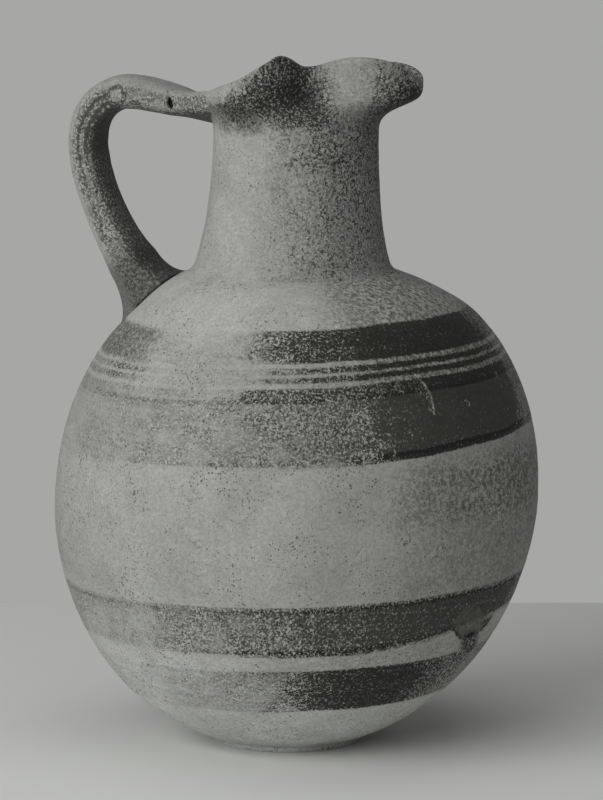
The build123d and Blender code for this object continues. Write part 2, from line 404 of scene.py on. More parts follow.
def finishMaterial(tree, color, slip, ground):
    # slip stands a little proud of the clay and is a little smoother
    k = skinFinish
    height = calc(tree, "MULTIPLY_ADD", slip, k["slipHeight"], ground.outputs["Height"])
    bump = addNode(tree, "ShaderNodeBump", Strength=k["bump"], Distance=k["bumpDepth"], Height=height)
    setNode(tree, tree.nodes["Principled BSDF"], Base_Color=color, Normal=bump.outputs[0],
            Roughness=ramp(tree, slip, 0.0, 1.0, k["bareRough"], k["slipRough"]),
            Specular_IOR_Level=k["specular"])


def coverRound(tree, turn, points):
    # points are (degrees from the camera side, cover); degrees run to the right
    return curveField(tree, turn, [((angle + 180) / 360, cover) for angle, cover in points])


# Body: bowl and shoulder in one skin, with the painted bands

bodyShape = dict(
    girth=94.0, radius=92.8,  # height and radius of the widest ring
    # quarter curves over and under the girth: reach and fullness of both ends
    shoulder=(94.6, (0.51, 0.74)), bowl=(-96.4, (0.40, 0.69)),
    wall=5.0, insideFloor=7.0, flatUnder=2.2, axisX=3.2,
    lean=0.043, settle=(166.0, 184.0),  # lean to the spout, and the heights where it goes back
    opening=33.4, openingX=1.7, bowlRows=72, shoulderRows=80, innerRows=20, steps=288,
    fingers=[(0.30, 46, 1.0), (0.12, 4.5, 0.2), (0.07, 7, 1.0)], fingerStart=(3.0, 12.0))

bodyBands = dict(
    tiltShoulder=0.040, tiltBelly=0.022, tiltTurns=(-20.0, 20.0), edge=0.00045,
    # waves, streaks and ragged ends of the brush: spread, scale, detail, roughness
    wave=(0.0016, 55.0), streak=(0.30, 1.0, 2.0, 0.6), streakShape=(14, 14, 560),
    ragged=(0.11, 120.0, 4.0, 0.75),
    # climb of the bands in mm, this far across on the spout side: height over the girth, share
    climb=7.0, climbAcross=75.0, climbSpan=200.0,
    upturn=[(-100, 0.0), (-56, 0.0), (-48, 0.25), (-39, 1.0), (-31, 0.5), (-24, 0.05), (0, 0.1), (20, 0.36),
        (32, 0.36), (60, 0.0), (100, 0.0)],
    # tone, lower and upper edges over the girth in mm, cover round the pot; past about 70 degrees to the
    # right the cover drops, a painted sheen on the right limb
    bands=dict(
        shoulderBlack=("black", [(62.1, 73.1)], [
            (-180, 0.7), (-110, 0.6), (-80, 0.3), (-55, 0.3), (-48, 0.15), (-43, 0.05), (-22, 0.1),
            (-12, 0.34), (-4, 0.56), (6, 0.8), (20, 0.9), (28, 0.95), (66, 0.95), (76, 0.55), (88, 0.5),
            (110, 0.6), (180, 0.7)]),
        fineLines=("black", [(58.4, 60.5), (55.3, 57.4)], [
            (-180, 0.6), (-110, 0.5), (-75, 0.28), (-58, 0.4), (-48, 0.2), (-38, 0.06), (-15, 0.12),
            (-5, 0.45), (5, 0.62), (15, 0.72), (25, 0.9), (66, 0.9), (76, 0.5), (88, 0.45), (110, 0.5),
            (180, 0.6)]),
        upperBorder=("black", [(48.5, 53.6)], [
            (-180, 0.6), (-100, 0.3), (-75, 0.2), (-60, 0.28), (-40, 0.18), (-25, 0.14), (-15, 0.32),
            (-5, 0.58), (12, 0.62), (25, 0.75), (40, 0.93), (66, 0.95), (76, 0.5), (88, 0.45), (110, 0.5),
            (180, 0.6)]),
        shoulderRed=("red", [(26.4, 50.0)], [
            (-180, 0.65), (-100, 0.2), (-75, 0.08), (-60, 0.16), (-30, 0.26), (-15, 0.32), (-5, 0.42),
            (8, 0.5), (18, 0.62), (27, 0.92), (65, 0.98), (74, 0.5), (88, 0.42), (110, 0.5), (180, 0.65)]),
        lowerBorder=("black", [(25.0, 28.1)], [
            (-180, 0.5), (-90, 0.03), (-45, 0.05), (-10, 0.06), (0, 0.2), (12, 0.4), (22, 0.72),
            (32, 0.97), (66, 0.97), (75, 0.5), (88, 0.42), (110, 0.5), (180, 0.5)]),
        bellyUpper=("black", [(-29.1, -26.5)], [
            (-180, 0.5), (-90, 0.22), (-60, 0.22), (-30, 0.28), (-10, 0.36), (5, 0.5), (30, 0.55),
            (66, 0.5), (74, 0.3), (110, 0.4), (180, 0.5)]),
        bellyRed=("red", [(-46.0, -27.6)], [
            (-180, 0.6), (-100, 0.25), (-75, 0.25), (-48, 0.2), (-38, 0.26), (-25, 0.38), (-12, 0.5),
            (0, 0.62), (12, 0.8), (45, 0.9), (66, 0.88), (76, 0.55), (88, 0.45), (110, 0.5), (180, 0.6)]),
        bellyLower=("black", [(-47.2, -44.4)], [
            (-180, 0.4), (-90, 0.03), (-25, 0.06), (-12, 0.3), (0, 0.6), (12, 0.7), (24, 0.65), (34, 0.4),
            (60, 0.4), (80, 0.25), (180, 0.4)]),
        lowerBlack=("black", [(-71.1, -52.9)], [
            (-180, 0.6), (-100, 0.5), (-84, 0.4), (-77, 0.08), (-45, 0.1), (-30, 0.22), (-18, 0.28),
            (-8, 0.42), (2, 0.66), (12, 0.86), (34, 0.9), (44, 0.68), (60, 0.5), (72, 0.3), (110, 0.4),
            (180, 0.6)]),
    ),
    # at the spout side of the belly band a scab of slip, and slip run down from it: across, over the girth
    scab=dict(centre=(66.2, -39.2), radii=(7.0, 6.2)), scabRough=(1.6, 260.0, 4.0, 0.75),
    scabEdge=(0.9, 1.1), scabCover=(0.3, 0.65), cracks=(0.04, 0.16, 0.9, 0.0), cracksUnder=(-41.0, -38.0),
    drip=dict(centre=(65.4, -48.5), radii=(3.8, 7.0)), dripEdge=(1.25, 0.6, 0.0, 0.7), nearSide=(0.73, 0.75),
    markEdge=(0.03, 0.3), markMiddle=(0.4, 0.85, 0.85, 0.25),  # paint lost at a mark, less in its middle
    # dirt, run slip and painted shade, most on the shaded right side: zone over the girth in mm, softness of
    # its edges, strength round the pot
    blotch=(560.0, 3.0, 0.85), blotchSwing=(0.05, 1.1),
    washesAndShade=[
        (58.5, 70.0, 0.7, [(-180, 0.0), (-110, 0.3), (-85, 0.75), (-54, 0.7), (-47, 0.2), (-42, 0.0),
                           (180, 0.0)]),
        (46.0, 72.0, 1.5, [(-180, 0.2), (-16, 0.0), (0, 0.18), (12, 0.4), (24, 1.0), (32, 1.3), (66, 1.3),
                           (76, 0.6), (110, 0.3), (180, 0.2)]),
        (2.0, 26.0, 7.0, [(-180, 0.3), (-60, 0.0), (6, 0.02), (18, 0.1), (30, 0.65), (66, 0.9), (80, 0.7),
                          (120, 0.4), (180, 0.3)]),
        # darker on the right of the upper shoulder
        (72.0, 96.0, 4.0, [(-180, 0.3), (-30, 0.0), (2, 0.08), (14, 0.4), (40, 0.9), (80, 0.8), (120, 0.4),
                           (180, 0.3)]),
        (-26.0, 2.0, 8.0, [(-180, 0.2), (0, 0.0), (20, 0.0), (27, 0.3), (45, 0.45), (80, 0.4), (180, 0.2)]),
        # painted shade: darkens the reserved stripe above the lower band towards the right
        (-60.0, -44.0, 3.0, [(-180, 0.2), (-28, 0.0), (-2, 0.3), (20, 0.35), (60, 0.3), (180, 0.2)]),
    ],
    # painted light: clay painted paler towards the foot on the shaded underside, and on the shoulder: heights
    # over the girth, how much paler at each
    paintedLight=[(-86.0, -22.0, 1.56, 1.0), (54.0, 80.0, 1.0, 1.16)])

marks = dict(
    gouge=dict(turn=33.6, height=144.4, length=18.0, width=6.4, roll=-16.0, depth=0.9, ragged=0.12),
    scar=dict(turn=54.0, height=53.6, length=17.0, width=17.0, roll=-35.0, depth=0.7, ragged=0.9, bare=0.0),
    scarChip=dict(turn=53.4, height=51.6, length=5.0, width=3.2, roll=-20.0, depth=0.8, ragged=0.8),
    upperChip=dict(turn=26.0, height=147.0, length=2.6, width=2.2, roll=20.0, depth=0.5, ragged=0.8),
    sideChip=dict(turn=47.3, height=139.1, length=3.2, width=1.8, roll=-50.0, depth=0.5, ragged=0.8),
    dash=dict(turn=14.9, height=88.4, length=5.0, width=0.9, roll=35.0, depth=0.35, ragged=0.3))


def quarterPoint(t, reach, full, inset=0.0):
    # point of a quarter curve, t 0 at the girth and 1 at the axis: radius and height over the girth
    q = 1 - t
    r = (bodyShape["radius"] - inset) * (q ** 3 + 3 * q * q * t + 3 * q * t * t * full[1])
    z = (reach - inset if reach > 0 else reach + inset) * (3 * q * q * t * full[0] + 3 * q * t * t + t ** 3)
    return r, z


def bodyRadius(height):
    over = height - bodyShape["girth"]
    curve = bodyShape["shoulder" if over > 0 else "bowl"]
    t = crossing(lambda t: abs(over) - abs(quarterPoint(t, *curve)[1]))
    return quarterPoint(t, *curve)[0]


def bodyLean(height):
    # the pot leans a little to the spout; at its opening it comes back under the neck
    s = bodyShape
    back = smoothStep(*s["settle"], height)
    return mix(s["lean"] * (height - s["girth"]), s["openingX"] - s["axisX"], back)


def domeHeight(x, y):
    # shoulder's outer skin over a point of the plan
    s = bodyShape
    height = 170.0  # first guess
    for step in range(6):
        off = hypot(x - s["axisX"] - bodyLean(height), y)
        t = crossing(lambda t: quarterPoint(t, *s["shoulder"])[0] - off)
        height = s["girth"] + quarterPoint(t, *s["shoulder"])[1]
    return height


def bodyPlace(mark):
    height = mark["height"]
    turn = radians(mark["turn"])
    outward = viewFront * cos(turn) + viewRight * sin(turn)
    across = viewRight * cos(turn) - viewFront * sin(turn)
    middle = outward * bodyRadius(height) + Vector((bodyShape["axisX"] + bodyLean(height), 0, height))
    slope = bodyRadius(height + 0.5) - bodyRadius(height - 0.5)
    upward = (outward * slope + upright).normalized()
    roll = radians(mark["roll"])
    long = upward * cos(roll) + across * sin(roll)
    short = across * cos(roll) - upward * sin(roll)
    return middle, long, short, outward


def makeBody(material):
    s = bodyShape
    profile = [(0.0, s["flatUnder"])]

    def addQuarter(curve, rows, first, last, inset=0.0):
        for row in range(rows + 1):
            r, over = quarterPoint(mix(first, last, row / rows), *curve, inset)
            profile.append((r, s["girth"] + over))

    def meets(curve, inset, height=None):
        # where a quarter curve meets a level, or else the neck's opening
        if height is None:
            return crossing(lambda t: quarterPoint(t, *curve, inset)[0] - s["opening"])
        return crossing(lambda t: s["girth"] + quarterPoint(t, *curve, inset)[1] - height)

    addQuarter(s["bowl"], s["bowlRows"], meets(s["bowl"], 0.0, s["flatUnder"]), 0.0)
    addQuarter(s["shoulder"], s["shoulderRows"], 0.0, meets(s["shoulder"], 0.0))
    addQuarter(s["shoulder"], s["innerRows"], meets(s["shoulder"], s["wall"]), 0.0, s["wall"])
    addQuarter(s["bowl"], s["innerRows"], 0.0, meets(s["bowl"], s["wall"], s["insideFloor"]), s["wall"])
    profile.append((0.0, s["insideFloor"]))
    bm = bmesh.new()
    bm.verts.layers.float.new("marked")
    spinProfile(bm, profile, s["steps"])
    bmesh.ops.translate(bm, vec=(s["axisX"], 0, 0), verts=bm.verts)
    bmesh.ops.recalc_face_normals(bm, faces=bm.faces)
    for v in bm.verts:
        v.co.x += bodyLean(v.co.z)
    bm.normal_update()
    places = {name: bodyPlace(mark) for name, mark in marks.items()}
    for name, place in places.items():
        refineMark(bm, marks[name], place)
    pressFingers(bm, s["fingers"], lambda p: smoothStep(*s["fingerStart"], p.z))
    for name, place in places.items():
        pressMark(bm, marks[name], place)
    nodes = [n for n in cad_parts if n.startswith("slip_")] + ["lower_bowl", "shoulder_dome"]
    finishPiece(bm, "jugBody", material, nodes)


def bodyMaterial():
    material, tree = startMaterial("bandedClay")
    b = bodyBands
    at = objectVector(tree)
    around = useGroup(tree, turnAround, Axis_X=bodyShape["axisX"] * mm)
    turn, across = around.outputs["Turn"], around.outputs["Across"]
    z = addNode(tree, "ShaderNodeSeparateXYZ", Vector=at).outputs["Z"]
    over = calc(tree, "SUBTRACT", z, bodyShape["girth"] * mm)

    # height in the brush's own slanting rings
    low, high = b["tiltTurns"]
    tilt = ramp(tree, over, low * mm, high * mm, b["tiltBelly"], b["tiltShoulder"])
    spoutSide = calc(tree, "DIVIDE", most(tree, across, 0.0), b["climbAcross"] * mm)
    span = b["climbSpan"]
    upturn = curveField(tree, calc(tree, "MULTIPLY_ADD", over, 1 / (span * mm), 0.5),
                        [(height / span + 0.5, share) for height, share in b["upturn"]])
    upturn = times(tree, spoutSide, spoutSide, upturn, b["climb"] * mm)
    climb = calc(tree, "MULTIPLY_ADD", across, tilt, upturn)
    height = calc(tree, "ADD", calc(tree, "SUBTRACT", over, climb), wanderField(tree, at, *b["wave"]))

    # how much of each band shows: worn slip, and the painted sheen of the right limb
    brushed = addNode(tree, "ShaderNodeMapping", Vector=at, Scale=b["streakShape"]).outputs[0]
    streak = wanderField(tree, brushed, *b["streak"])
    raggedTurn = calc(tree, "ADD", turn, wanderField(tree, at, *b["ragged"]))
    cover = {"black": 0.0, "red": 0.0}
    for tone, rings, points in b["bands"].values():
        wearAndSheen = calc(tree, "ADD", coverRound(tree, raggedTurn, points), streak)
        for low, high in rings:
            ring = useGroup(tree, slipBand, Height=height, Low=low * mm, High=high * mm, Edge=b["edge"])
            cover[tone] = most(tree, cover[tone], times(tree, ring.outputs[0], wearAndSheen))
    nearSide = ramp(tree, turn, *b["nearSide"], 1.0, 0.0)
    drip = ramp(tree, ellipseField(tree, across, over, **b["drip"]), *b["dripEdge"])
    cover["black"] = most(tree, cover["black"], times(tree, drip, nearSide))
    marked = vertexField(tree, "marked")
    lost = times(tree, ramp(tree, marked, *b["markEdge"]), ramp(tree, marked, *b["markMiddle"]))
    kept = calc(tree, "SUBTRACT", 1.0, lost)

    # clay, painted paler in places, then dirt and painted shade, then both paints, then the scab over them
    ground = useGroup(tree, clayGround, Pits=1.0)
    # painted light: the clay is painted paler towards the foot and on the shoulder
    paler = [ramp(tree, over, low * mm, high * mm, first, last, "LINEAR")
             for low, high, first, last in b["paintedLight"]]
    color = scaleColor(tree, ground.outputs["Color"], times(tree, *paler))
    washAndShade = 0.0
    for low, high, edge, points in b["washesAndShade"]:
        zone = useGroup(tree, slipBand, Height=over, Low=low * mm, High=high * mm, Edge=edge * mm)
        strength = coverRound(tree, turn, points)
        washAndShade = calc(tree, "MULTIPLY_ADD", zone.outputs[0], strength, washAndShade)
    blotch = ramp(tree, noiseField(tree, at, *b["blotch"]), 0.40, 0.60, *b["blotchSwing"])
    color = blendColor(tree, times(tree, washAndShade, blotch), color, slipTone["washAndShade"])
    masks = []
    for tone in ("red", "black"):
        masks.append(useGroup(tree, flakedSlip, Cover=times(tree, cover[tone], kept)).outputs[0])
        color = blendColor(tree, masks[-1], color, slipTone[tone])
    crust = wanderField(tree, at, *b["scabRough"])
    crust = calc(tree, "ADD", ellipseField(tree, across, over, **b["scab"]), crust)
    scab = times(tree, ramp(tree, crust, *b["scabEdge"], 1.0, 0.0), nearSide, kept,
                 calc(tree, "MULTIPLY_ADD", blotch, *b["scabCover"]))
    color = blendColor(tree, scab, color, slipTone["washAndShade"])
    rim = calc(tree, "ABSOLUTE", calc(tree, "SUBTRACT", crust, 1.0))
    low, high = b["cracksUnder"]
    cracks = times(tree, ramp(tree, rim, *b["cracks"]), nearSide,
                   ramp(tree, over, low * mm, high * mm, 1.0, 0.0))
    color = blendColor(tree, cracks, color, slipTone["black"])
    finishMaterial(tree, color, most(tree, *masks), ground)
    return material


# Neck and pinched mouth in one wall

neckShape = dict(
    axisX=(1.7, 3.3), rootRadius=38.0, rootMargin=0.8, height=51.8, wall=4.6, steps=288,
    # the skirt that is smoothed onto the shoulder
    skirt=2.2, skirtRise=3.6, skirtStart=-1.5, skirtSink=0.25, tuck=3.0, tuckSink=1.2, insideDrop=0.4,
    fingers=[(0.28, 24, 1.0), (0.10, 4.0, 0.2)], fingerStart=(1.0, 8.0),
    profile=[(0.0, 38.0, -0.25), (23.0, 33.2, -0.12), (51.8, 31.6, 0.02)],
    neckRows=44, mouthRows=34, lipRows=8, innerRows=30)

mouthShape = dict(
    plan=[(0, 49.4), (62, 20.0), (112, 38.0), (180, 35.5)],
    rise=[(0, 20.4, 0.30), (24, 27.7, 0.08), (36, 27.0, -0.20), (50, 24.3, -0.10), (64, 23.8, 0.0),
        (88, 27.1, 0.0), (98, 23.2, -0.40), (112, 17.8, -0.20), (180, 13.2, 0.0)],
    tilt=6.0, farDrop=3.0, wall=4.4, flare=14.0, flareRise=20.0, lip=1.5, backX=-30.0,
    wobble=(0.3, 20, 9))  # height of the rim's unevenness, radius and size of its noise

# cover round the neck and the mouth: degrees from the camera side, cover
neckPaint = dict(
    neck=[(-180, 0.6), (-120, 0.35), (-80, 0.03), (-28, 0.04), (-14, 0.16), (-4, 0.24), (6, 0.3), (16, 0.4),
        (25, 0.44), (36, 0.44), (60, 0.42), (100, 0.6), (180, 0.6)],
    mouth=[(-180, 0.5), (-75, 0.3), (-58, 0.45), (-40, 0.66), (-25, 0.77), (-12, 0.84), (0, 0.86),
        (8, 0.84), (16, 0.76), (22, 0.66), (28, 0.42), (34, 0.22), (39, 0.13), (45, 0.16), (51, 0.44),
        (57, 0.58), (63, 0.8), (80, 0.9), (100, 0.8), (130, 0.6), (180, 0.5)],
    # how much the lip is rubbed bare, and the stripe under the rim: paint and painted shade under the lip's
    # overhang
    lipWear=[(-180, 0.5), (-75, 0.9), (-42, 0.8), (-28, 0.55), (-16, 0.2), (0, 0.1), (20, 0.2), (56, 0.3),
        (74, 0.5), (180, 0.5)],
    under=[(-180, 0.6), (-75, 0.45), (-55, 0.6), (-38, 0.85), (-22, 0.65), (-5, 0.3), (12, 0.3), (24, 0.4),
        (40, 0.5), (60, 0.5), (180, 0.5)])


neckWear = dict(
    pits=0.8, wander=(0.8, 110.0, 4.0, 0.75), speckle=(760.0, 3.0, 0.85), speckleStir=(0.32, 0.68, 1.4),
    fade=(50.0, 0.68, 1.16),  # over this height in mm the neck's cover goes from one share to the other
    # shares of the mouth's rise, which is about this many mm
    mouthSpan=20.0, mouthFrom=(0.0, 0.72), stripeFrom=(0.02, 0.45), stripeTo=(0.5, 0.85), lip=(0.72, 0.95),
    inside=(1.02, 1.1), stripeCover=0.6, stripeShade=0.62, insideCover=0.6, strongest=0.97)


def neckRoot():
    off = neckShape["rootRadius"] + neckShape["rootMargin"]
    t = crossing(lambda t: quarterPoint(t, *bodyShape["shoulder"])[0] - off)
    return bodyShape["girth"] + quarterPoint(t, *bodyShape["shoulder"])[1]


def neckAxis(height):
    low, high = neckShape["axisX"]
    return mix(low, high, min(max(height / neckShape["height"], 0.0), 1.0))


def mouthRise(turn):
    side = abs(degrees(turn))
    m = mouthShape
    rise = hermite(m["rise"], side) - eased(m["plan"], side) * sin(turn) * tan(radians(m["tilt"]))
    rise -= m["farDrop"] * max(sin(turn), 0.0) ** 2
    height, ring, size = m["wobble"]
    return rise + height * fingerNoise((cos(turn) * ring, sin(turn) * ring, 3), size)


def mouthWall(turn, s):
    # outer radius, inner radius and height of the mouth's wall at a share s of its rise
    m = mouthShape
    side = abs(degrees(turn))
    rim = eased(m["plan"], side)
    near, far = max(side - 1, 0), min(side + 1, 180)
    slant = (eased(m["plan"], far) - eased(m["plan"], near)) / radians(far - near) / rim
    rise = mouthRise(turn)
    raw = (s * rise / (m["flare"] * min(1.0, rise / m["flareRise"]))) ** 3
    share = raw / (1 + raw ** 4) ** 0.25
    top = neckShape["profile"][-1][1]
    outer = top + share * (rim - top)
    wall = m["wall"] * (1 + share * (sqrt(1 + slant ** 2) - 1))
    return outer, outer - wall, s * rise


def makeNeck(material):
    n = neckShape
    rows = n["neckRows"] + 2 * n["mouthRows"] + n["lipRows"] + n["innerRows"]
    bm = bmesh.new()
    rimShare = bm.verts.layers.float.new("rimShare")  # 0 at the neck, 1 at the lip, 2 down the inside
    # a plain tube first: a vertex's height is its row
    spinProfile(bm, [(100.0, float(row)) for row in range(rows)], n["steps"], closed=True)
    root = neckRoot()
    top = root + n["height"]
    mouthStart, lipStart = n["neckRows"], n["neckRows"] + n["mouthRows"]
    insideStart = lipStart + n["lipRows"]
    for v in bm.verts:
        turn = atan2(v.co.y, v.co.x)
        row = round(v.co.z)
        share, h = 0.0, n["height"]
        if row < mouthStart:
            h = mix(-n["tuck"], n["height"], row / n["neckRows"])
            up = max(h, 0.0)
            r = hermite(n["profile"], up) + n["skirt"] * max(1 - up / n["skirtRise"], 0.0) ** 2
            z = root + h
            if h < n["skirtRise"]:
                floor = domeHeight(neckAxis(h) + r * cos(turn), r * sin(turn))
                free = smoothStep(n["skirtStart"], n["skirtRise"], h)
                z = mix(floor - n["skirtSink"], z, free) if row else floor - n["tuckSink"]
        elif row < lipStart:
            share = (row - mouthStart) / (n["mouthRows"] - 1)
            r, inner, lift = mouthWall(turn, share)
            z = top + lift
        elif row < insideStart:
            share = 1.0
            arc = pi * (row - lipStart + 1) / (n["lipRows"] + 1)
            outer, inner, lift = mouthWall(turn, 1.0)
            r = (outer + inner) / 2 + (outer - inner) / 2 * cos(arc)
            z = top + lift + mouthShape["lip"] * sin(arc)
        elif row < insideStart + n["mouthRows"]:
            down = (row - insideStart) / n["mouthRows"]
            share = 1 + down
            outer, r, lift = mouthWall(turn, 1 - down)
            z = top + lift
        else:
            share = 2.0
            h = n["height"] * (1 - (row - insideStart - n["mouthRows"]) / (n["innerRows"] - 1))
            r = hermite(n["profile"], h) - n["wall"]
            z = root + h - n["insideDrop"]
        v.co = (neckAxis(h) + r * cos(turn), r * sin(turn), z)
        v[rimShare] = share
    bmesh.ops.recalc_face_normals(bm, faces=bm.faces)
    bm.normal_update()
    low, high = n["fingerStart"]
    pressFingers(bm, n["fingers"], lambda p: smoothStep(root + low, root + high, p.z))
    finishPiece(bm, "neckAndMouth", material, ["neck", "neck_luting_ring", "trefoil_mouth"])


def neckMaterial():
    material, tree = startMaterial("brushedNeck")
    w = neckWear
    at = objectVector(tree)
    turn = useGroup(tree, turnAround, Axis_X=neckShape["axisX"][1] * mm).outputs["Turn"]
    z = addNode(tree, "ShaderNodeSeparateXYZ", Vector=at).outputs["Z"]
    paint = {name: coverRound(tree, turn, points) for name, points in neckPaint.items()}
    rim = vertexField(tree, "rimShare")
    wander = wanderField(tree, at, *w["wander"])
    root = neckRoot() * mm
    lift = calc(tree, "SUBTRACT", z, root + neckShape["height"] * mm)
    lift = calc(tree, "ADD", calc(tree, "DIVIDE", lift, w["mouthSpan"] * mm), wander)
    stripe = times(tree, ramp(tree, lift, *w["stripeFrom"]), ramp(tree, lift, *w["stripeTo"], 1.0, 0.0),
                   paint["under"])
    bare = times(tree, paint["lipWear"], ramp(tree, calc(tree, "ADD", rim, wander), *w["lip"]))
    mouthCover = times(tree, paint["mouth"], calc(tree, "SUBTRACT", 1.0, bare))
    reach, first, last = w["fade"]
    neckCover = times(tree, paint["neck"], ramp(tree, z, root, root + reach * mm, first, last, "LINEAR"))
    cover = blendValue(tree, ramp(tree, lift, *w["mouthFrom"]), neckCover, mouthCover)
    cover = most(tree, cover, times(tree, stripe, w["stripeCover"]))
    inside = times(tree, paint["mouth"], w["insideCover"])
    cover = blendValue(tree, ramp(tree, rim, *w["inside"]), cover, inside)
    cover = stirCover(tree, cover, noiseField(tree, at, *w["speckle"]), *w["speckleStir"])
    mask = useGroup(tree, flakedSlip, Cover=calc(tree, "MINIMUM", cover, w["strongest"])).outputs[0]
    ground = useGroup(tree, clayGround, Pits=w["pits"])
    # painted shade under the lip's overhang, darkening the clay below the rim
    underRimShade = times(tree, stripe, ramp(tree, rim, 1.0, 1.05, w["stripeShade"], 0.0))
    color = blendColor(tree, underRimShade, ground.outputs["Color"], slipTone["black"])
    finishMaterial(tree, blendColor(tree, mask, color, slipTone["black"]), mask, ground)
    return material


# Handle: a strap from the back of the rim to the shoulder

handleShape = dict(
    # run of the strap's middle in the plane of the spout: x, height, thickness, width
    run=[(-45.0, 246.5, 11.2, 24.4), (-51.5, 247.9, 12.0, 24.0), (-58.5, 249.2, 12.8, 24.0),
         (-66.5, 249.0, 13.2, 24.0), (-73.5, 245.2, 13.2, 24.0), (-78.0, 238.6, 12.8, 24.0),
         (-79.7, 230.0, 12.6, 24.0), (-78.8, 221.9, 12.6, 24.0), (-76.8, 214.4, 12.6, 24.0),
         (-74.0, 206.5, 12.8, 24.0), (-70.4, 198.2, 13.4, 24.0), (-66.0, 190.0, 14.6, 24.5),
         (-61.8, 183.4, 17.0, 26.0)],
    rounding=2.9, around=72, along=110, topRows=20, rootRows=18, underRows=3,
    # flange on the back of the rim; lead and leave shape its sweep into the strap
    seat=dict(height=242.8, halfTall=5.4, halfWide=29.0, tilt=0.2, rounding=3.6, closing=0.97,
              lead=4.0, leadShare=0.74, leadLevel=0.2, leave=5.0),
    # flare on the shoulder; the crack runs along its edge between these degrees round the strap
    rootFoot=dict(x=-53.0, halfLong=13.2, halfWide=15.5, rounding=2.4, sink=0.25, outward=(-0.62, 0, 0.78),
                  reach=(0.23, 0.08), lead=(-0.3, 0, 0.5), leave=7.0, underShare=0.35, underDepth=3.0),
    crack=dict(opens=(199.0, 219.0), closes=(274.0, 290.0), gap=1.3),
    fingers=[(0.35, 15, 1.0), (0.10, 4, 1.0)], fingerOver=(176, 186), fingerBehind=(-36, -42),
    chip=dict(x=-43.3, height=246.1, length=5.6, width=2.6, roll=14.0, depth=1.8, ragged=0.6))

handlePaint = dict(
    # cover across the strap's thickness, from its inside (0) to its outside (1), and along it
    across=[(0, 0.93), (0.12, 0.9), (0.22, 0.6), (0.35, 0.48), (0.5, 0.5), (0.64, 0.5), (0.8, 0.18),
        (1, 0.12)],
    along=[(0, 0.95), (0.08, 0.95), (0.14, 0.75), (0.25, 0.6), (0.34, 0.95), (0.46, 1.0), (0.6, 0.88),
        (1, 0.88)],
    root=[(0, 0.0), (0.8, 0.0), (0.88, 0.5), (1, 0.55)],  # painted shade on the root, where the strap meets the shoulder
    lines=(0.04, -0.42), lineHalf=0.13,
    lineAlong=[(0, 0.0), (0.27, 0.0), (0.31, 0.88), (0.5, 0.88), (0.62, 0.6), (0.8, 0.5), (0.88, 0.0),
        (1, 0.0)],
    # a painted loop and a smear on the near side: x, height
    loop=dict(centre=(-64.3, 248.6), radii=(3.4, 4.0)), loopEdge=(1.2, 0.95), loopFill=(0.45, 0.85, 0.2, 0.7),
    smear=dict(centre=(-57.2, 246.0), radii=(2.6, 1.1)), smearEdge=(1.3, 0.7, 0.0, 0.8),
    nearSide=(-0.75, -0.4), wobble=(0.3, 90.0), pits=0.9, strongest=0.88,
    # painted shade in the chip's hollow, darker than the slip
    chipShade=(0.012, 0.012, 0.011, 1), chipEdge=(0.1, 0.6))


def catmull(points, t):
    i = min(int(t), len(points) - 2)
    f = t - i
    p = [points[min(max(i + k, 0), len(points) - 1)] for k in (-1, 0, 1, 2)]
    return [0.5 * (2 * b + (c - a) * f + (2 * a - 5 * b + 4 * c - d) * f * f
                   + (3 * b - a - 3 * c + d) * f ** 3) for a, b, c, d in zip(*p)]


def sectionShare(phi, rounding):
    # phi runs round the strap: 0 outside, 90 far side, 180 inside, 270 near side
    c, s = cos(phi), sin(phi)
    power = 2 / rounding
    return abs(c) ** power * (1 if c >= 0 else -1), abs(s) ** power * (1 if s >= 0 else -1)


def strapPoint(t, phi):
    run = handleShape["run"]
    x, z, thick, wide = catmull(run, t)
    ahead, behind = catmull(run, min(t + 0.02, len(run) - 1)), catmull(run, max(t - 0.02, 0))
    along = Vector((ahead[0] - behind[0], 0, ahead[1] - behind[1])).normalized()
    outward = Vector((along.z, 0, -along.x))
    u, w = sectionShare(phi, handleShape["rounding"])
    return Vector((x, 0, z)) + outward * (u * thick / 2) + Vector((0, w * wide / 2, 0)), along


def bezierPoint(p0, p1, p2, p3, t):
    q = 1 - t
    return p0 * q ** 3 + p1 * (3 * q * q * t) + p2 * (3 * q * t * t) + p3 * t ** 3


def wallMiddle(y, z):
    # x of the middle of the mouth's wall, at the back
    turn = atan2(y, mouthShape["backX"])
    s = min(max((z - neckRoot() - neckShape["height"]) / mouthRise(turn), 0.0), 1.0)
    outer, inner, lift = mouthWall(turn, s)
    return neckShape["axisX"][1] - sqrt(((outer + inner) / 2) ** 2 - y * y)


def seatPoint(phi, t):
    # flange on the rim, from the strap's start (t 0) to the wall (t 1) and closed inside the wall (t up to 2)
    seat = handleShape["seat"]
    u, w = sectionShare(phi, seat["rounding"])
    shrink = 1 - seat["closing"] * max(t - 1, 0.0)
    y = w * seat["halfWide"] * shrink
    z = seat["height"] + u * seat["halfTall"] * shrink - y * seat["tilt"]
    foot = Vector((wallMiddle(y, z), y, z))
    if t > 1:
        return foot
    begin, along = strapPoint(0.0, phi)
    level = mix(z, seat["height"] - y * seat["tilt"], seat["leadLevel"])
    aside = seat["leadShare"] * y
    lead = Vector((wallMiddle(aside, level) - seat["lead"], aside, level))
    return bezierPoint(begin, begin - along * seat["leave"], lead, foot, t)


def crackLift(phi):
    crack = handleShape["crack"]
    at = degrees(phi) % 360
    return smoothStep(*crack["opens"], at) * (1 - smoothStep(*crack["closes"], at))


